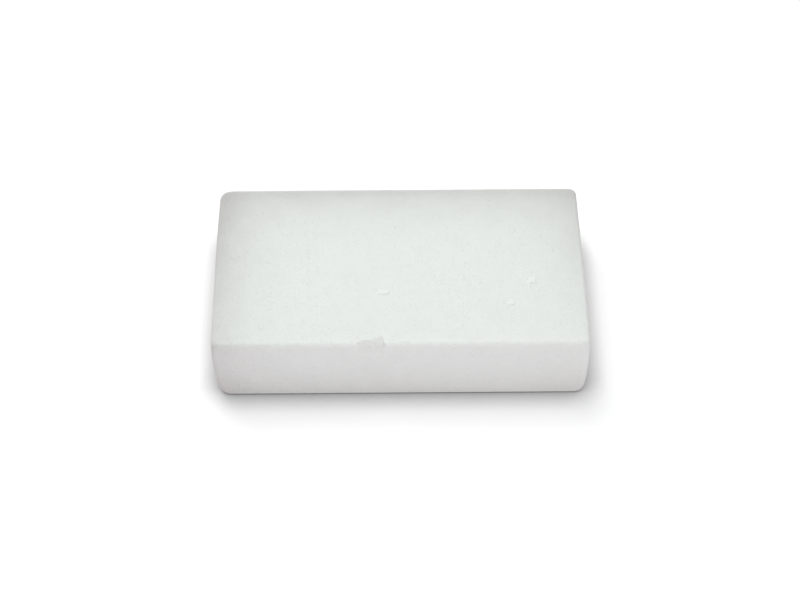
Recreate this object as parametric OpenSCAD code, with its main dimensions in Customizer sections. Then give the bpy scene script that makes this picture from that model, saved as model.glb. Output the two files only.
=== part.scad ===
// A cleaning sponge: one block of white open-cell foam, cut square from a
// larger slab. Its upright corners and its edges are softened, its two cut
// ends swell a little, a chip is torn from its front top edge and three
// flecks of foam stand up from its top face.
// Lengths are in millimetres. The origin is the middle of the underside,
// X runs along the block, -Y is its front and Z is up.

/* [Block] */
// Length of the block, taken where its ends swell most
block_l = 100; // [75:1:160]
// Width of the block, front to back
block_w = 60; // [50:1:110]
// Thickness of the block
block_t = 20; // [15:0.5:45]
// How far the middle of each cut end stands out past its corners
end_swell = 0.2; // [0.1:0.1:1.5]

/* [Upright corners] */
// Radius of the two upright corners at the front
front_corner_r = 2.2; // [1:0.1:6]
// Radius of the two upright corners at the back
back_corner_r = 2.6; // [1:0.1:6]

/* [Edges] */
// Radius of the top edge along the front
front_top_r = 1.2; // [0.3:0.1:4]
// Radius of the bottom edge along the front
front_bottom_r = 1; // [0.3:0.1:4]
// Radius of the top edge along the back
back_top_r = 2.2; // [0.3:0.1:4]
// Radius of the bottom edge along the back
back_bottom_r = 1.2; // [0.3:0.1:4]
// Radius of the top edge of each cut end
end_top_r = 1.1; // [0.3:0.1:4]
// Radius of the bottom edge of each cut end, which wears the most
end_bottom_r = 3.2; // [0.3:0.1:4]

/* [Torn chip] */
// How far left of the block's middle the chip ends
chip_x = 3.4; // [0:0.1:20]
// Length of the chip along the edge
chip_l = 9.4; // [5:0.1:14]
// Length over which the torn pocket deepens at its left end
run_left = 2.2; // [0.5:0.1:2.5]
// Length over which the torn pocket deepens at its right end
run_right = 1.9; // [0.5:0.1:2.4]
// How far the torn pocket reaches back over the top
pocket_back = 1.7; // [0.5:0.1:4]
// How far the torn pocket reaches down the front
pocket_down = 4.5; // [1:0.1:8]
// How far short of the chip's right end the crushed lip breaks off
lip_short = 0.9; // [0.3:0.1:2]
// How far the crushed lip reaches back over the top where it is deepest
lip_back = 3.6; // [1:0.1:6]
// How far the crushed lip would reach down the front there
lip_down = 1.6; // [0.5:0.1:3]

/* [Flecks on the top] */
// How far left of the block's middle the long fleck is centred
ridge_x = 4.6; // [0:0.1:20]
// How far the long fleck is from the front face
ridge_y = 18.8; // [10:0.1:30]
// Length of the long fleck
ridge_l = 3.4; // [2.7:0.1:8]
// Width of the long fleck
ridge_w = 2.2; // [1.6:0.1:2.6]
// Height of the long fleck at its middle
ridge_high = 0.45; // [0.1:0.05:0.8]
// Height of the long fleck near its ends
ridge_end_high = 0.3; // [0.1:0.05:0.8]
// How far the round fleck is from the right-hand end
nub_x = 14.4; // [10:0.1:30]
// How far the round fleck is from the front face
nub_y = 22.6; // [15:0.1:35]
// Width of the round fleck
nub_w = 2.2; // [1.6:0.1:4]
// Height of the round fleck
nub_high = 0.5; // [0.1:0.05:0.8]
// How far the small fleck is from the right-hand end
speck_x = 20.5; // [10:0.1:30]
// How far the small fleck is from the front face
speck_y = 14.7; // [8:0.1:30]
// Width of the small fleck
speck_w = 1.8; // [1.6:0.1:4]
// Height of the small fleck
speck_high = 0.25; // [0.1:0.05:0.8]

/* [Hidden] */
$fn = 96;
// Sides of the end discs, which need more because they are so large
disc_sides = 960;
// How far a shape runs past the face that it cuts, or is rooted in
over = 1;
// Flats in each quarter round of an end disc's rim
round_steps = 6;
// A cut end is an arc: this is its radius and how far its centre is from
// the block's middle, on the other side
swell_r = (pow(block_w / 2, 2) + pow(end_swell, 2)) / (2 * end_swell);
swell_x = swell_r - block_l / 2;
right = block_l / 2;
front = -block_w / 2;
back = block_w / 2;
// The left tip of the chip
chip_tip = -chip_x - chip_l;

// Where the centre of an upright corner's rounding lies along the block, so
// that the rounding runs smoothly into the swollen end
function corner_x(y, r) = sqrt(pow(swell_r - r, 2) - pow(y, 2)) - swell_x;

// The point where that rounding meets the end's arc
function corner_end(y, r) =
    let (x = corner_x(y, r), reach = swell_r / (swell_r - r))
    [(x + swell_x) * reach - swell_x, y * reach];

// The block from above, with straight sides and rounded corners. Between its
// corners each end runs on past its true place, and the end disc trims it.
module plan_outline() {
    fy = front + front_corner_r;
    by = back - back_corner_r;
    fx = corner_x(fy, front_corner_r);
    bx = corner_x(by, back_corner_r);
    fe = corner_end(fy, front_corner_r);
    be = corner_end(by, back_corner_r);
    polygon([
        [-fx, front], [fx, front], fe, [right + over, fe[1]],
        [right + over, be[1]], be, [bx, back], [-bx, back],
        [-be[0], be[1]], [-right - over, be[1]],
        [-right - over, fe[1]], [-fe[0], fe[1]]
    ]);
    for (side = [-1, 1]) {
        translate([side * fx, fy])
            circle(r = front_corner_r);
        translate([side * bx, by])
            circle(r = back_corner_r);
    }
}

// The block from its end, with a radius of its own at each long edge
module side_outline() {
    polygon([
        [front + front_bottom_r, 0], [back - back_bottom_r, 0],
        [back, back_bottom_r], [back, block_t - back_top_r],
        [back - back_top_r, block_t], [front + front_top_r, block_t],
        [front, block_t - front_top_r], [front, front_bottom_r]
    ]);
    translate([front + front_bottom_r, front_bottom_r])
        circle(r = front_bottom_r);
    translate([front + front_top_r, block_t - front_top_r])
        circle(r = front_top_r);
    translate([back - back_bottom_r, back_bottom_r])
        circle(r = back_bottom_r);
    translate([back - back_top_r, block_t - back_top_r])
        circle(r = back_top_r);
}

// The points along a quarter round, from one angle to the other
function quarter(x, y, r, from) =
    [for (i = [0 : round_steps])
        let (a = from + 90 * i / round_steps)
        [x + r * cos(a), y + r * sin(a)]];

// A disc so large that a short stretch of its rim is one swollen end, with
// the rim's bottom and top edges rounded. Its hub is past the other end.
module end_disc(side) {
    translate([-side * swell_x, 0, 0])
        rotate_extrude($fn = disc_sides)
            polygon(concat(
                [[0, 0]],
                quarter(swell_r - end_bottom_r, end_bottom_r,
                    end_bottom_r, -90),
                quarter(swell_r - end_top_r, block_t - end_top_r,
                    end_top_r, 0),
                [[0, block_t]]
            ));
}

// The whole block before anything broke off: what the plan, the side and the
// two end discs have in common
module whole_block() {
    intersection() {
        translate([0, 0, -over])
            linear_extrude(height = block_t + 2 * over)
                plan_outline();
        translate([-right - over, 0, 0])
            rotate([90, 0, 90])
                linear_extrude(height = block_l + 2 * over)
                    side_outline();
        end_disc(-1);
        end_disc(1);
    }
}

// The pocket torn out of the front top edge. Its steep back wall leans so
// that it comes out at the front face lower down, and its ends taper off.
module torn_pocket() {
    lean = atan2(pocket_back, pocket_down);
    reach = pocket_back * cos(lean);
    spread = over / reach;
    translate([chip_tip, front, block_t])
        rotate([-lean, 0, 0])
            linear_extrude(height = 3 * (pocket_down + over), center = true)
                polygon([
                    [-run_left * spread, -over], [run_left, reach],
                    [chip_l - run_right, reach],
                    [chip_l + run_right * spread, -over]
                ]);
}

// The crushed lip behind the pocket. It starts at nothing at the chip's tip,
// grows to its full reach and breaks off at one upright wall.
module crushed_lip() {
    lip_l = chip_l - lip_short;
    turn = atan2(lip_back, lip_l);
    tilt = atan2(lip_down, lip_back * cos(turn));
    size = lip_l + lip_back + lip_down + 2 * over;
    intersection() {
        translate([chip_tip - over, front - over, block_t - lip_down - over])
            cube([lip_l + over, lip_back + 2 * over, lip_down + 2 * over]);
        translate([chip_tip, front, block_t])
            rotate([0, 0, turn])
                rotate([tilt, 0, 0])
                    translate([-over, over - size, 0])
                        cube(size);
    }
}

// A fleck of foam that stands up from the top face: a round cap of the given
// width and height, rooted in the block
module fleck(x, y, wide, high) {
    r = (pow(wide / 2, 2) + pow(high, 2)) / (2 * high);
    intersection() {
        translate([x, y, block_t + high - r])
            sphere(r = r);
        translate([x - wide, y - wide, block_t - over])
            cube([2 * wide, 2 * wide, high + 2 * over]);
    }
}

// Three caps in a row that make one long fleck
module long_fleck() {
    y = front + ridge_y;
    step = (ridge_l - ridge_w) / 2;
    fleck(-ridge_x, y, ridge_w, ridge_high);
    for (side = [-1, 1])
        fleck(-ridge_x + side * step, y, ridge_w, ridge_end_high);
}

module foam_block() {
    color([0.93, 0.95, 0.93]) {
        difference() {
            whole_block();
            torn_pocket();
            crushed_lip();
        }
        long_fleck();
        fleck(right - nub_x, front + nub_y, nub_w, nub_high);
        fleck(right - speck_x, front + speck_y, speck_w, speck_high);
    }
}

foam_block();
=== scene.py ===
"""A cleaning sponge: one block of white open-cell foam lying on a pale floor.

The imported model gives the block's size and place. The foam is modelled again here as one fine
mesh, with its soft edges, swollen ends, torn chip and raised flecks, and gets a foam material.
Lengths are in metres, X runs along the block, -Y is its front and Z is up.
"""

import math

import bmesh
import bpy
from bpy.props import FloatProperty, FloatVectorProperty, PointerProperty
from mathutils import Matrix, Vector, noise


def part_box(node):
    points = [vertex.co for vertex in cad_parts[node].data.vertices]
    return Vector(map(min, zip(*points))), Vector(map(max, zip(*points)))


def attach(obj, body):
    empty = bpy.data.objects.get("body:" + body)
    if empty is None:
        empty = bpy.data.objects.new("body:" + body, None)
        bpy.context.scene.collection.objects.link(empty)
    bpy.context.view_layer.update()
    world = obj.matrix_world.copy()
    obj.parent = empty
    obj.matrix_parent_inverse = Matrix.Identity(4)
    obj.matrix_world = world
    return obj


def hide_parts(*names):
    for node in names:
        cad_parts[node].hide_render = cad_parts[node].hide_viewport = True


bl_info = {
    "name": "Cleaning sponge",
    "version": (1, 0, 0),
    "blender": (4, 5, 0),
    "location": "3D View > Sidebar > Sponge",
    "description": "Models a white foam cleaning block, and the floor, lamps and camera round it",
    "category": "Add Mesh",
}

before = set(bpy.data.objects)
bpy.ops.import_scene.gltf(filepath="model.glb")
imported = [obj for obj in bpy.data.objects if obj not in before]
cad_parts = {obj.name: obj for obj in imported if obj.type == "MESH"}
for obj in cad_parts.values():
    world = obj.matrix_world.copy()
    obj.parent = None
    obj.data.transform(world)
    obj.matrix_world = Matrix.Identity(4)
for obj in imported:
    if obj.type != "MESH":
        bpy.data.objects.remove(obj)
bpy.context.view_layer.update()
MM = 0.001
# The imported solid's flecks stand this far above its flat top, and HIGH is at that top's level
PROUD = 0.5 * MM
LOW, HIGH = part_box("foam_block")
HIGH.z -= PROUD
CENTRE = (LOW + HIGH) / 2
# The finer mesh runs this far past the chip, and this far above and below the top's level
SPARE = 1 * MM
# Under a fleck it reaches this share of the fleck's size out from its middle
FLECK_REACH = 0.75
# The crushed lip breaks off between these two places, counted to the right from its end
LIP_BREAK = (-0.7 * MM, 0.1 * MM)
# A torn face is marked as crushed, and gets the lip's painted shade, in full where the lip sinks this much
# deeper than the pocket
LIP_CLEAR = 0.08 * MM
# How deep a torn face lies where it is fully torn, and how high a fleck is where its painted highlight is
# full
TORN_FULL = 0.4 * MM
HIGHLIGHT_FULL = 0.2 * MM
# From the middle of a cell to its wall, in cells, an opening and a pit shade off between these
OPENING = (0.08, 0.45)
PIT = (0.06, 0.20)
# A soft patch shades in between these values of its noise
PATCH = (0.35, 0.75)
# From the middle of the floor to its edge
FLOOR_REACH = 3.0


def length(name, description, default):
    """A property that holds a length, given in millimetres here and kept in metres."""
    return FloatProperty(name=name, description=description, default=default * MM,
                         min=0, unit="LENGTH", subtype="DISTANCE", precision=5)


def share(name, description, default, most=1.0):
    """A property that holds a share or a plain strength."""
    return FloatProperty(name=name, description=description, default=default, min=0, max=most)


def angle(name, description, default):
    """A property that holds an angle, given in degrees here."""
    return FloatProperty(name=name, description=description, default=math.radians(default),
                         unit="ROTATION", subtype="ANGLE")


def colour(name, description, default):
    """A property that holds a colour, as linear light."""
    return FloatVectorProperty(name=name, description=description, default=default,
                               size=3, min=0, max=1, subtype="COLOR")


class FoamForm(bpy.types.PropertyGroup):
    """The form of the foam block."""

    front_corner: length("Front corner", "Radius of the two upright corners at the front", 2.2)
    back_corner: length("Back corner", "Radius of the upright corner at the back right", 2.6)
    worn_corner: length("Worn corner", "Radius of the upright corner at the back left", 3.8)
    front_top: length("Front top edge", "Radius of the top edge along the front", 1.2)
    front_bottom: length("Front bottom edge", "Radius of the bottom edge along the front", 1.0)
    back_top: length("Back top edge", "Radius of the top edge along the back", 2.2)
    back_bottom: length("Back bottom edge", "Radius of the bottom edge along the back", 1.2)
    end_top: length("End top edge", "Radius of the top edge of each cut end", 1.1)
    end_bottom: length("End bottom edge", "Radius of the bottom edge of each cut end", 3.2)
    swell: length("End swell", "How far the middle of a cut end stands out past its corners", 0.2)
    left_belly: length("Left belly", "How far the left end bellies out", 0.3)
    left_level: length("Left belly height", "How high up the left end bellies out most", 15.0)
    right_belly: length("Right belly", "How far the right end bellies out", 0.2)
    right_level: length("Right belly height", "How high up the right end bellies out most", 12.0)
    belly_reach: length("Belly reach", "How far above or below its belly an end is back in line", 6.0)
    shoulder_width: length("Shoulder width", "How wide the top's soft shoulders are", 9.0)
    shoulder_drop: length("Shoulder drop", "How far the top falls across a shoulder", 0.3)
    margin: length("Margin", "Width of the finer mesh along each edge", 3.0)
    fine: length("Fine step", "Mesh step in the margin", 0.25)
    coarse: length("Coarse step", "Mesh step away from the edges", 0.62)
    wave: length("Wave", "Height of the broad waves that the cut left", 0.10)
    wave_length: length("Wave length", "Length of the broad waves", 22.0)
    ripple: length("Ripple", "Height of the small ripples", 0.02)
    ripple_length: length("Ripple length", "Length of the small ripples", 2.2)
    calm_foot: length("Calm foot", "How far above the underside the waves reach full height", 3.0)


class FoamDamage(bpy.types.PropertyGroup):
    """The torn chip, and the flecks that stand up from the top."""

    chip_x: length("Chip place", "How far left of the middle the chip ends", 3.4)
    chip_length: length("Chip length", "Length of the chip along the edge", 9.4)
    run_left: length("Left run", "Length over which the pocket deepens at its left end", 3.0)
    run_right: length("Right run", "Length over which the pocket deepens at its right end", 2.2)
    pocket_back: length("Pocket back", "How far the torn pocket reaches back", 1.6)
    pocket_down: length("Pocket down", "How far the torn pocket reaches down", 5.4)
    pocket_widen: length("Pocket widening", "How much further back the pocket reaches at its right", 0.1)
    lip_short: length("Lip end", "How far short of the pocket's right end the lip breaks off", 0.9)
    lip_back: length("Lip back", "How far the crushed lip reaches back", 3.6)
    lip_down: length("Lip down", "How far the crushed lip would reach down", 1.2)
    jag: length("Jag", "How far the chip's outline strays along the edge", 0.25)
    torn_rough: length("Torn roughness", "Height of the crumbs on a torn face", 0.10)
    crumb: length("Crumb", "Size of the crumbs on a torn face, and of the chip's jags", 0.9)
    fine_crumb: length("Fine crumb", "Size of the finer crumbs on a torn face", 0.35)
    ridge_x: length("Ridge place", "How far left of the middle the long fleck is centred", 4.6)
    ridge_y: length("Ridge depth in", "How far the long fleck is from the front face", 18.8)
    ridge_length: length("Ridge length", "Length of the long fleck", 3.4)
    ridge_width: length("Ridge width", "Width of the long fleck", 2.2)
    ridge_high: length("Ridge height", "Height of the long fleck", 0.65)
    nub_x: length("Nub place", "How far the round fleck is from the right-hand end", 14.5)
    nub_y: length("Nub depth in", "How far the round fleck is from the front face", 22.8)
    nub_width: length("Nub width", "Width of the round fleck", 2.6)
    nub_high: length("Nub height", "Height of the round fleck", 0.54)
    speck_x: length("Speck place", "How far the small fleck is from the right-hand end", 20.5)
    speck_y: length("Speck depth in", "How far the small fleck is from the front face", 14.7)
    speck_width: length("Speck width", "Width of the small fleck", 2.4)
    speck_high: length("Speck height", "Height of the small fleck", 0.52)
    flap_square: share("Flap squareness", "2 makes a fleck oval, and more makes it squarer", 2.5, most=8.0)
    flap_steep: share("Flap steepness", "1 makes a fleck a soft dome, and less steepens its sides", 0.75)
    flap_middle: share("Flap middle", "Height of a fleck's middle, as a share of its full height", 0.75)
    flap_lean: share("Flap lean", "Share of height a fleck gains to its right, and to its front", 0.35)
    flap_ragged: share("Flap raggedness", "How far a fleck's outline strays", 0.2)
    flap_tooth: length("Flap tooth", "Size of the teeth in a fleck's outline", 1.1)
    flap_rough: share("Flap roughness", "How uneven a fleck's height is", 0.1)
    flap_crumb: length("Flap crumb", "Size of the crumbs on a fleck", 0.5)


class FoamFinish(bpy.types.PropertyGroup):
    """The look of the foam's surface."""

    body: colour("Foam", "Colour of the foam", (0.889, 0.917, 0.893))
    # Painted highlight: the raised flecks are painted in this lighter colour
    fleck_highlight: colour("Highlighted foam", "Colour of the foam in the flecks", (0.905, 0.935, 0.913))
    shade: colour("Cell shade", "Colour inside the open cells", (0.74, 0.76, 0.745))
    # Painted shade: the top's rim, the upright edges and the underside's edges are darkened towards this
    # colour, as set below
    shaded: colour("Shaded foam", "Colour of the foam along its darkened edges", (0.565, 0.55, 0.54))
    back_shade: share("Back soiling", "How soiled the top's back edge is", 0.82)
    end_shade: share("End soiling", "How soiled the top's left edge is at the back", 1.0)
    end_fade_right: share("End fade right", "How much less soiled the top's right edge is", 0.41)
    end_fade_front: share("End fade front", "How much less soiled the top's ends are at the front", 0.51)
    rim_width: length("Rim soil width", "How far the soiling reaches in over the top", 7.7)
    upright_shade: share("Upright soiling", "How soiled the left upright edges are at their feet", 0.72)
    upright_fade: share("Upright fade", "How much less soiled the upright edges are at the top", 0.88)
    foot_shade: share("Foot soiling", "How soiled the underside's edges are at the left", 0.55)
    foot_fade: share("Foot fade", "How much less soiled the foot's long edges are at the right", 0.25)
    right_fade: share("Right fade", "How much less soiled the right end's uprights and foot are", 0.75)
    foot_width: length("Foot soil width", "How far the soiling reaches from the uprights and the foot", 5.5)
    shade_patches: share("Soil patches", "How much the soft patches vary the soiling", 0.3)
    cell: length("Cell", "Size of the foam's open cells", 0.35)
    grain: share("Grain", "Size of the fine grain, as a share of a cell", 0.6)
    pit: length("Pit spacing", "How far apart the larger pits are", 1.3)
    mottle: length("Mottle", "Size of the soft patches", 7.0)
    scatter: length("Scatter", "How far light travels inside the foam", 1.2)
    bump: length("Pit depth", "Depth of the larger pits", 0.12)
    cell_deep: share("Cell depth", "Depth of the open cells, as a share of the pits' depth", 0.6)
    grain_high: share("Grain height", "Height of the fine grain, as a share of the pits' depth", 0.4)
    cell_tone: share("Cell tone", "How much of the cell shade the open cells show", 0.20)
    pit_tone: share("Pit tone", "How much of the cell shade the larger pits show", 0.40)
    patch_tone: share("Patch tone", "How much of the cell shade the soft patches show", 0.08)
    torn_tone: share("Torn tone", "How much of the cell shade a torn face shows", 0.05)
    # Painted shade: the crushed lip's colour is darkened further
    lip_shade_tone: share("Crushed tone", "How much more of the cell shade the crushed lip shows", 0.45)


class StudioLight(bpy.types.PropertyGroup):
    """The light on the block."""

    key: share("Key", "Level of the main lamp, above and behind", 0.38, most=10.0)
    key_azimuth: angle("Key azimuth", "Direction of the main lamp, from the front to the right", -155.0)
    key_elevation: angle("Key elevation", "Height of the main lamp above the floor", 58.0)
    key_far: length("Key distance", "From the block to the main lamp", 1100.0)
    key_wide: length("Key width", "Width of the main lamp", 600.0)
    front: share("Front lamp", "Level of the low lamp in front", 0.165, most=10.0)
    front_azimuth: angle("Front azimuth", "Direction of the front lamp, from the front to the right", 15.0)
    front_elevation: angle("Front elevation", "Height of the front lamp above the floor", 14.0)
    front_far: length("Front distance", "From the block to the front lamp", 450.0)
    front_wide: length("Front width", "Width of the front lamp", 200.0)
    fill: share("Fill", "Level of the even light from all round", 0.62, most=10.0)
    fill_colour: colour("Fill colour", "Colour of the even light", (0.975, 1.0, 0.985))
    floor: colour("Floor", "Colour of the floor, as the block sees it", (0.80, 0.705, 0.765))
    open_floor: colour("Open floor", "Colour of the floor, as the camera sees it", (0.90, 0.90, 0.90))
    # Painted contact shadow: where the camera sees it, the floor is darkened towards this colour near the
    # block's foot
    contact_shadow: colour("Shadowed floor", "Colour of the floor, where the block shadows it",
                          (0.02, 0.02, 0.02))
    contact: length("Contact shade", "How far the shade at the block's foot reaches", 7.0)
    glow: share("Floor glow", "How much the floor shines where it is seen", 0.24)
    far_glow: share("Far glow", "How much more the floor shines far out", 0.3)
    far_from: length("Far glow start", "How far from the block the far glow starts", 150.0)
    far_full: length("Far glow end", "How far from the block the far glow is full", 800.0)


class PhotoView(bpy.types.PropertyGroup):
    """The camera, at the photograph's viewing angle."""

    azimuth: angle("Azimuth", "Direction of the camera, from the front to the right", -0.70)
    elevation: angle("Elevation", "Height of the camera above the floor", 46.42)
    roll: angle("Roll", "How far the camera leans to the left", 0.10)
    distance: FloatProperty(name="Distance", description="From the camera to what it aims at",
                            default=0.5939, unit="LENGTH", subtype="DISTANCE")
    aim: FloatVectorProperty(name="Aim", description="The point that the camera aims at",
                             default=(0.00002, -0.00387, 0.010), size=3, subtype="TRANSLATION")
    lens: FloatProperty(name="Lens", description="Focal length of the lens, in millimetres",
                        default=97.65, unit="CAMERA")


def smooth(low, high, value):
    """0 below low, 1 above high, and a smooth rise between them."""
    t = min(max((value - low) / (high - low), 0.0), 1.0)
    return t * t * (3 - 2 * t)


def blank_block(form):
    """The block as a plain box of quads, with a finer mesh along every edge."""
    bm = bmesh.new()
    size = Matrix.Diagonal((HIGH - LOW).to_4d())
    bmesh.ops.create_cube(bm, size=1.0, matrix=Matrix.Translation(CENTRE) @ size)
    for axis in range(3):
        normal = Vector((0, 0, 0))
        normal[axis] = 1
        for cut in (LOW[axis] + form.margin, HIGH[axis] - form.margin):
            bmesh.ops.bisect_plane(bm, geom=bm.verts[:] + bm.edges[:] + bm.faces[:],
                                   plane_co=normal * cut, plane_no=normal)
        for in_margin, step in ((True, form.fine), (False, form.coarse)):
            split_along(bm, axis, form.margin, in_margin, step)
    return bm


def split_along(bm, axis, margin, in_margin, step):
    """Splits the edges that run along an axis, in the margins or between them, into steps."""
    edges = []
    for edge in bm.edges:
        run = edge.verts[1].co - edge.verts[0].co
        if abs(run[axis]) > 0.5 * run.length:
            if (abs(run[axis]) < margin * 1.01) == in_margin:
                edges.append(edge)
    cuts = round(edges[0].calc_length() / step) - 1
    bmesh.ops.subdivide_edges(bm, edges=edges, cuts=cuts, use_grid_fill=True)


def refine(bm, low, high, times):
    """Halves the mesh step inside a box, several times over."""
    for _ in range(times):
        edges = [e for e in bm.edges
                 if all(low[i] <= v.co[i] <= high[i] for v in e.verts for i in range(3))]
        bmesh.ops.subdivide_edges(bm, edges=edges, cuts=1, use_grid_fill=True)


def round_corner(a, b, radius):
    """Bends a square corner to a round one. a and b are how far a point is in from each side."""
    if a >= radius or b >= radius:
        return a, b
    u, v = radius - a, radius - b
    pull = max(u, v) / math.hypot(u, v)
    return radius - u * pull, radius - v * pull


def soften(co, form):
    """Moves a point of the plain box to the block with soft corners, edges and swollen ends."""
    half = (HIGH - LOW) / 2
    side_x = 1 if co.x > CENTRE.x else -1
    side_y = 1 if co.y > CENTRE.y else -1
    side_z = 1 if co.z > CENTRE.z else -1
    in_x = half.x - abs(co.x - CENTRE.x)
    in_y = half.y - abs(co.y - CENTRE.y)
    in_z = half.z - abs(co.z - CENTRE.z)
    deep = min(in_x, in_y)
    corner = form.front_corner
    if side_y > 0:
        corner = form.back_corner if side_x > 0 else form.worn_corner
    if side_z > 0:
        along = form.back_top if side_y > 0 else form.front_top
        across = form.end_top
    else:
        along = form.back_bottom if side_y > 0 else form.front_bottom
        across = form.end_bottom
    reach = max(corner, along, across)
    u, v = max(reach - in_x, 0.0), max(reach - in_y, 0.0)
    new_x, new_y = round_corner(in_x, in_y, corner)
    if u or v:
        to_end = u * u / (u * u + v * v)
        radius = along + (across - along) * to_end
        new_deep, new_z = round_corner(deep, in_z, radius)
        inward = Vector((max(corner - in_x, 0.0), max(corner - in_y, 0.0)))
        if inward.x == 0 or inward.y == 0:
            inward = Vector((1, 0)) if in_x < in_y else Vector((0, 1))
        inward.normalize()
        new_x += inward.x * (new_deep - deep)
        new_y += inward.y * (new_deep - deep)
        in_z = new_z
    x = side_x * (half.x - new_x)
    y = side_y * (half.y - new_y)
    z = side_z * (half.z - in_z)
    x *= 1 - form.swell / half.x * (y / half.y) ** 2 + belly(z + half.z, side_x, form) / half.x
    z -= shoulder(new_x, new_y, side_y, form) * smooth(-half.z, half.z, z)
    return Vector((CENTRE.x + x, CENTRE.y + y, CENTRE.z + z))


def belly(height, side_x, form):
    """How far an end stands out at a height. It is worn back towards its foot."""
    out, level = form.right_belly, form.right_level
    if side_x < 0:
        out, level = form.left_belly, form.left_level
    return out * (1 - ((height - level) / form.belly_reach) ** 2)


def shoulder(in_x, in_y, side_y, form):
    """How far the top face falls at a point, in from the ends and from the back."""
    fall = max(1 - in_x / form.shoulder_width, 0.0) ** 2
    if side_y > 0:
        fall = max(fall, max(1 - in_y / form.shoulder_width, 0.0) ** 2)
    return form.shoulder_drop * fall


def painted_shade(co, finish):
    """How much painted shade a point of the plain box gets. Shade is painted along the rim of its top, most
    at the back left, along its upright edges, most at their feet, and along its underside's edges. All but
    the painted shade along the top's back edge is less at the right."""
    size = HIGH - LOW
    gap = {
        "left": co.x - LOW.x, "right": HIGH.x - co.x,
        "front": co.y - LOW.y, "back": HIGH.y - co.y,
        "bottom": co.z - LOW.z, "top": HIGH.z - co.z,
    }
    rightward, forward, upward = gap["left"] / size.x, gap["back"] / size.y, gap["bottom"] / size.z
    end = finish.end_shade - finish.end_fade_right * rightward - finish.end_fade_front * forward
    left_share = 1 - finish.right_fade * rightward
    upright = finish.upright_shade * left_share * (1 - finish.upright_fade * upward)
    end_foot = finish.foot_shade * left_share
    long_foot = finish.foot_shade * (1 - finish.foot_fade * rightward)
    unshaded = 1.0
    for amount, width, edges in (
        (finish.back_shade, finish.rim_width, ("back top",)),
        (end, finish.rim_width, ("left top", "right top")),
        (upright, finish.foot_width, ("left front", "right front", "left back", "right back")),
        (long_foot, finish.foot_width, ("front bottom", "back bottom")),
        (end_foot, finish.foot_width, ("left bottom", "right bottom")),
    ):
        for edge in edges:
            first, second = edge.split()
            unshaded *= 1 - amount * math.exp(-math.hypot(gap[first], gap[second]) / width)
    return 1 - unshaded


def hollow_sink(y, z, back, down):
    """How far a point that is y in from the front and z below the top sinks, slanting back and down,
    to a curved wall that reaches back at the top and runs out gently in the front face lower down."""
    level = max(1 - z / down, 0.0)
    if back * level ** 2 <= y:
        return 0.0
    bend = back / down
    lead = 2 * bend * level + 1
    rest = bend * level ** 2 - y / down
    return down * (lead - math.sqrt(lead ** 2 - 4 * bend * rest)) / (2 * bend) * math.sqrt(2)


def chip_sink(co, damage):
    """How far a point sinks, slanting back and down, where the chip was torn out, and from 0 to 1
    how much it is the crushed lip that sinks there."""
    end = -damage.chip_x
    tip = end - damage.chip_length
    lip_end = end - damage.lip_short
    y, z = max(co.y - LOW.y, 0.0), HIGH.z - co.z
    jagged = co.x + damage.jag * noise.noise(co / damage.crumb)
    hollow = smooth(tip, tip + damage.run_left, jagged) * smooth(0, damage.run_right, end - jagged)
    back = damage.pocket_back + damage.pocket_widen * smooth(tip, end, co.x)
    pocket = hollow_sink(y, z, back * hollow, damage.pocket_down)
    grown = (co.x - tip) / (lip_end - tip) * (1 - smooth(*LIP_BREAK, jagged - lip_end))
    inside = grown - y / damage.lip_back - z / damage.lip_down
    lip = max(inside * math.sqrt(2) / (1 / damage.lip_back + 1 / damage.lip_down), 0.0)
    return max(pocket, lip), smooth(0, LIP_CLEAR, lip - pocket)


def fleck_spots(damage):
    """The place of each fleck's middle on the top face, and its length, width and height."""
    ridge = (-damage.ridge_x, LOW.y + damage.ridge_y)
    nub = (HIGH.x - damage.nub_x, LOW.y + damage.nub_y)
    speck = (HIGH.x - damage.speck_x, LOW.y + damage.speck_y)
    return (
        (*ridge, damage.ridge_length, damage.ridge_width, damage.ridge_high),
        (*nub, damage.nub_width, damage.nub_width, damage.nub_high),
        (*speck, damage.speck_width, damage.speck_width, damage.speck_high),
    )


def fleck_rise(co, spot, seed, damage):
    """How far one fleck stands up at a point of the top face. It is a torn flap, highest at its
    front right, and its seed gives it a ragged outline of its own."""
    x, y, wide, deep, high = spot
    u, v = (co.x - x) / (wide / 2), (co.y - y) / (deep / 2)
    ragged = 1 + damage.flap_ragged * noise.noise(Vector((co.x, co.y, seed)) / damage.flap_tooth)
    square = damage.flap_square
    inside = max(1 - (abs(u) ** square + abs(v) ** square) * ragged, 0.0)
    lean = min(damage.flap_middle + damage.flap_lean * (u - v), 1.0)
    return high * inside ** damage.flap_steep * lean


def damage_foam(bm, damage):
    """Tears the chip out, raises the flecks and marks both."""
    torn = bm.verts.layers.float.new("torn")
    crushed = bm.verts.layers.float.new("crushed")
    fleck_highlight = bm.verts.layers.float.new("fleck_highlight")
    slant = Vector((0, 1, -1)).normalized()
    for vert in bm.verts:
        co = vert.co
        sink, on_lip = chip_sink(co, damage)
        if sink > 0:
            amount = smooth(0, TORN_FULL, sink)
            rough = noise.noise(co / damage.crumb) + 0.5 * noise.noise(co / damage.fine_crumb)
            vert[torn] = amount
            # Painted shade: this mark sets where the crushed lip's colour is darkened
            vert[crushed] = amount * on_lip
            vert.co = co + slant * (sink + damage.torn_rough * rough * amount)
        elif co.z > HIGH.z - SPARE:
            for seed, spot in enumerate(fleck_spots(damage)):
                rise = fleck_rise(co, spot, seed, damage)
                if rise > 0:
                    # Painted highlight: a fleck is marked to be painted lighter
                    vert[fleck_highlight] = min(rise / HIGHLIGHT_FULL, 1.0)
                    vert.co.z += rise * (1 + damage.flap_rough * noise.noise(co / damage.flap_crumb))


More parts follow.
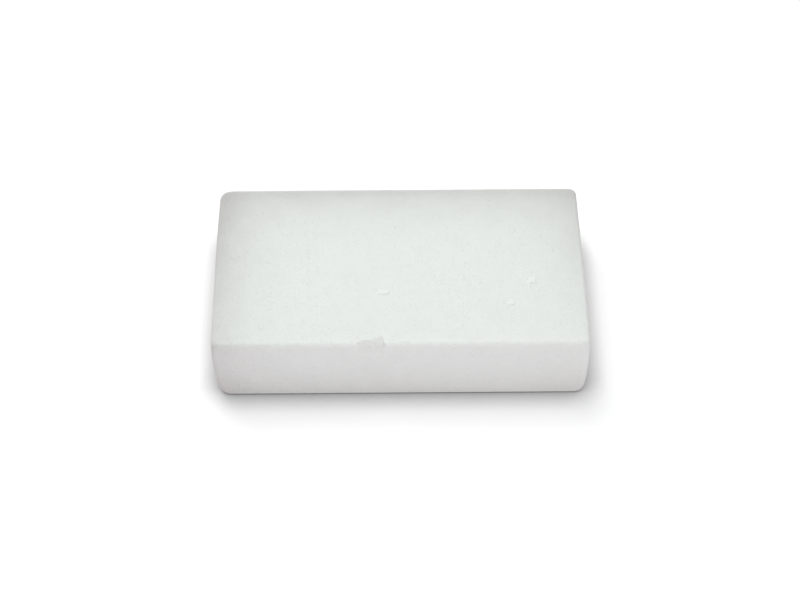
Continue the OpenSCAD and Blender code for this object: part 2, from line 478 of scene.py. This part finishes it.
def wave_foam(bm, form):
    """Gives the cut faces their broad waves and small ripples, fading out at the underside."""
    bm.normal_update()
    moves = []
    for vert in bm.verts:
        co = vert.co
        height = form.wave * noise.noise(co / form.wave_length)
        height += form.ripple * noise.noise(co / form.ripple_length)
        moves.append(vert.normal * height * smooth(0, form.calm_foot, co.z - LOW.z))
    for vert, move in zip(bm.verts, moves):
        vert.co += move


class Graph:
    """The nodes of one material or world."""

    def __init__(self, owner):
        owner.use_nodes = True
        self.tree = owner.node_tree
        self.tree.nodes.clear()

    def node(self, kind, settings=None, inputs=None, output=0):
        """Adds a node with its settings, then its values and links, and gives one of its outputs."""
        node = self.tree.nodes.new(kind)
        for name, value in (settings or {}).items():
            setattr(node, name, value)
        for name, value in (inputs or {}).items():
            if isinstance(value, Wire):
                self.tree.links.new(value.socket, node.inputs[name])
            else:
                node.inputs[name].default_value = value
        return Wire(self, node.outputs[output]) if node.outputs else None


class Wire:
    """A node's output. Sums and products of wires add the Math nodes that work them out."""

    def __init__(self, graph, socket):
        self.graph = graph
        self.socket = socket

    def math(self, operation, first, second):
        return self.graph.node("ShaderNodeMath", {"operation": operation}, {0: first, 1: second})

    def __add__(self, other):
        return self.math("ADD", self, other)

    __radd__ = __add__

    def __mul__(self, other):
        return self.math("MULTIPLY", self, other)

    __rmul__ = __mul__

    def __sub__(self, other):
        return self.math("SUBTRACT", self, other)

    def __rsub__(self, other):
        return self.math("SUBTRACT", other, self)

    def most(self, other):
        """The larger of the two."""
        return self.math("MAXIMUM", self, other)

    def between(self, low, high):
        """0 at low, 1 at high, and a smooth rise between them."""
        return self.graph.node("ShaderNodeMapRange", {"interpolation_type": "SMOOTHSTEP"},
                               {"Value": self, "From Min": low, "From Max": high})


def noise_wire(graph, place, size):
    """Soft cloudy noise of a given size."""
    return graph.node("ShaderNodeTexNoise", None,
                      {"Vector": place, "Scale": 1 / size, "Detail": 3.0, "Roughness": 0.5})


def cell_wire(graph, place, size):
    """The distance to the middle of the nearest of many cells of a given size, in cells."""
    return graph.node("ShaderNodeTexVoronoi", None, {"Vector": place, "Scale": 1 / size})


def mix_colour(graph, amount, first, second):
    """A colour between two others, each a wire or a plain colour."""
    def rgba(value):
        return value if isinstance(value, Wire) else (*value, 1)
    return graph.node("ShaderNodeMix", {"data_type": "RGBA"},
                      {"Factor": amount, 6: rgba(first), 7: rgba(second)}, output=2)


def foam_material(finish):
    """White open-cell foam: fine cells, soft patches and a matte, light-scattering body."""
    material = bpy.data.materials.new("white_foam")
    graph = Graph(material)
    place = graph.node("ShaderNodeTexCoord", output="Object")
    torn, crushed, fleck_highlight, shading = (
        graph.node("ShaderNodeAttribute", {"attribute_name": name}, output="Fac")
        for name in ("torn", "crushed", "fleck_highlight", "shading")
    )
    openings = 1 - cell_wire(graph, place, finish.cell).between(*OPENING)
    pits = 1 - cell_wire(graph, place, finish.pit).between(*PIT)
    grain = noise_wire(graph, place, finish.cell * finish.grain)
    patches = noise_wire(graph, place, finish.mottle)
    tone = openings * finish.cell_tone + pits * finish.pit_tone
    tone += patches.between(*PATCH) * finish.patch_tone
    # Painted shade on the crushed lip, on top of the slight darkening of torn faces
    tone += torn * finish.torn_tone + crushed * finish.lip_shade_tone
    height = grain * finish.grain_high - openings * finish.cell_deep - pits
    bump = graph.node("ShaderNodeBump", None,
                      {"Strength": 0.8, "Distance": finish.bump, "Height": height})
    # Painted highlight: the flecks are painted lighter than the rest of the foam
    foam = mix_colour(graph, tone, mix_colour(graph, fleck_highlight, finish.body, finish.fleck_highlight), finish.shade)
    # Painted shade: the edges and feet are darkened towards the shade colour, varied by the soft patches
    patchy = patches * finish.shade_patches + (1 - finish.shade_patches / 2)
    shader = graph.node("ShaderNodeBsdfPrincipled", None, {
        "Base Color": mix_colour(graph, shading * patchy, foam, finish.shaded),
        "Roughness": 0.92,
        "Specular IOR Level": 0.15,
        "Subsurface Weight": 0.7,
        "Subsurface Radius": (1, 1, 1),
        "Subsurface Scale": finish.scatter,
        "Normal": bump,
    })
    graph.node("ShaderNodeOutputMaterial", None, {"Surface": shader})
    return material


class MESH_OT_foam_block(bpy.types.Operator):
    """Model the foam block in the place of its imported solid"""

    bl_idname = "mesh.foam_block"
    bl_label = "Foam block"

    def execute(self, context):
        form, damage = context.scene.foam_form, context.scene.foam_damage
        finish = context.scene.foam_finish
        bm = blank_block(form)
        chip = Vector((-damage.chip_x, LOW.y, HIGH.z))
        spare = Vector((SPARE, SPARE, SPARE))
        refine(bm, chip - Vector((damage.chip_length, 0, damage.pocket_down)) - spare,
               chip + Vector((0, damage.lip_back, 0)) + spare, 2)
        for x, y, wide, deep, _ in fleck_spots(damage):
            spot = Vector((x, y, HIGH.z))
            reach = Vector((wide * FLECK_REACH, deep * FLECK_REACH, SPARE))
            refine(bm, spot - reach, spot + reach, 3)
        # Painted shade: each point keeps how much its colour is darkened, reckoned on the plain box
        shading = bm.verts.layers.float.new("shading")
        for vert in bm.verts:
            vert[shading] = painted_shade(vert.co, finish)
            vert.co = soften(vert.co, form)
        damage_foam(bm, damage)
        wave_foam(bm, form)
        for face in bm.faces:
            face.smooth = True
        mesh = bpy.data.meshes.new("foam")
        bm.to_mesh(mesh)
        bm.free()
        piece = bpy.data.objects.new("foam", mesh)
        context.collection.objects.link(piece)
        mesh.materials.append(foam_material(finish))
        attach(piece, "root")
        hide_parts("foam_block")
        return {"FINISHED"}


def seen_directly(graph):
    """1 for what the camera sees straight, in a mirror or through glass."""
    path = {name: graph.node("ShaderNodeLightPath", output=f"Is {name} Ray")
            for name in ("Camera", "Glossy", "Transmission")}
    return path["Camera"].most(path["Glossy"]).most(path["Transmission"])


def floor_material(light):
    """A pale floor that shows white to the camera, and still takes the block's shadow. Where the camera
    sees it, a contact shadow is also painted on it, darker round the block's foot. Far out, where the lamps
    don't reach, it shines a little more, so that it runs into the white background."""
    material = bpy.data.materials.new("pale_floor")
    graph = Graph(material)
    shown = seen_directly(graph)
    # Painted contact shadow: the floor seen by the camera is darker, and glows less, where the block hides
    # its sky
    open_sky = graph.node("ShaderNodeAmbientOcclusion", {"samples": 8},
                          {"Distance": light.contact}, output="AO")
    place = graph.node("ShaderNodeTexCoord", output="Object")
    away = graph.node("ShaderNodeVectorMath", {"operation": "LENGTH"}, {0: place}, output=1)
    far_out = away.between(light.far_from, light.far_full)
    shine = shown * (open_sky * light.glow + far_out * light.far_glow)
    seen = mix_colour(graph, open_sky, light.contact_shadow, light.open_floor)
    shader = graph.node("ShaderNodeBsdfPrincipled", None, {
        "Base Color": mix_colour(graph, shown, light.floor, seen),
        "Emission Color": mix_colour(graph, shine, (0, 0, 0), (1, 1, 1)),
        "Emission Strength": 1.0,
        "Roughness": 1.0,
        "Specular IOR Level": 0.0,
    })
    graph.node("ShaderNodeOutputMaterial", None, {"Surface": shader})
    return material


def light_world(light):
    """White to the camera, and an even fill light to everything else."""
    world = bpy.data.worlds.new("studio")
    graph = Graph(world)
    fill = graph.node("ShaderNodeBackground", None,
                      {"Color": (*light.fill_colour, 1), "Strength": light.fill})
    white = graph.node("ShaderNodeBackground", None, {"Color": (1, 1, 1, 1), "Strength": 1.0})
    both = graph.node("ShaderNodeMixShader", None, {0: seen_directly(graph), 1: fill, 2: white})
    graph.node("ShaderNodeOutputWorld", None, {"Surface": both})
    return world


def direction(azimuth, elevation):
    """From the block towards a lamp or camera. Azimuth 0 is in front, and it grows to the right."""
    flat = math.cos(elevation)
    return Vector((math.sin(azimuth) * flat, -math.cos(azimuth) * flat, math.sin(elevation)))


def add_lamp(context, name, way, far, wide, level):
    """A square soft lamp that aims at the block. At level 1, white faces that face it turn white."""
    lamp = bpy.data.lights.new(name, "AREA")
    lamp.shape = "SQUARE"
    lamp.size = wide
    lamp.energy = level * (math.pi * far) ** 2
    piece = bpy.data.objects.new(name, lamp)
    piece.location = CENTRE + way * far
    piece.rotation_euler = way.to_track_quat("Z", "Y").to_euler()
    context.collection.objects.link(piece)


class SCENE_OT_sponge_stage(bpy.types.Operator):
    """Set the floor, the lamps and the camera round the block"""

    bl_idname = "scene.sponge_stage"
    bl_label = "Stage"

    def execute(self, context):
        light, view = context.scene.studio_light, context.scene.photo_view
        bm = bmesh.new()
        bmesh.ops.create_grid(bm, x_segments=1, y_segments=1, size=FLOOR_REACH)
        mesh = bpy.data.meshes.new("floor")
        bm.to_mesh(mesh)
        bm.free()
        floor = bpy.data.objects.new("floor", mesh)
        context.collection.objects.link(floor)
        mesh.materials.append(floor_material(light))
        context.scene.world = light_world(light)
        way = direction(light.key_azimuth, light.key_elevation)
        add_lamp(context, "key_lamp", way, light.key_far, light.key_wide, light.key)
        way = direction(light.front_azimuth, light.front_elevation)
        add_lamp(context, "front_lamp", way, light.front_far, light.front_wide, light.front)
        camera = bpy.data.objects.new("camera", bpy.data.cameras.new("camera"))
        camera.data.lens = view.lens
        way = direction(view.azimuth, view.elevation)
        camera.location = Vector(view.aim) + way * view.distance
        turn = way.to_track_quat("Z", "Y").to_matrix() @ Matrix.Rotation(view.roll, 3, "Z")
        camera.rotation_euler = turn.to_euler()
        context.collection.objects.link(camera)
        context.scene.camera = camera
        context.scene.view_settings.view_transform = "Standard"
        return {"FINISHED"}


class VIEW3D_PT_sponge(bpy.types.Panel):
    """Buttons for the block and its stage"""

    bl_label = "Cleaning sponge"
    bl_space_type = "VIEW_3D"
    bl_region_type = "UI"
    bl_category = "Sponge"

    def draw(self, context):
        self.layout.operator(MESH_OT_foam_block.bl_idname)
        self.layout.operator(SCENE_OT_sponge_stage.bl_idname)


GROUPS = {
    "foam_form": FoamForm,
    "foam_damage": FoamDamage,
    "foam_finish": FoamFinish,
    "studio_light": StudioLight,
    "photo_view": PhotoView,
}
CLASSES = (*GROUPS.values(), MESH_OT_foam_block, SCENE_OT_sponge_stage, VIEW3D_PT_sponge)


def register():
    for cls in CLASSES:
        bpy.utils.register_class(cls)
    for name, group in GROUPS.items():
        setattr(bpy.types.Scene, name, PointerProperty(type=group))


def unregister():
    for name in GROUPS:
        delattr(bpy.types.Scene, name)
    for cls in reversed(CLASSES):
        bpy.utils.unregister_class(cls)


def main():
    """Makes the block and its stage."""
    register()
    bpy.ops.mesh.foam_block()
    bpy.ops.scene.sponge_stage()


if __name__ == "__main__":
    main()
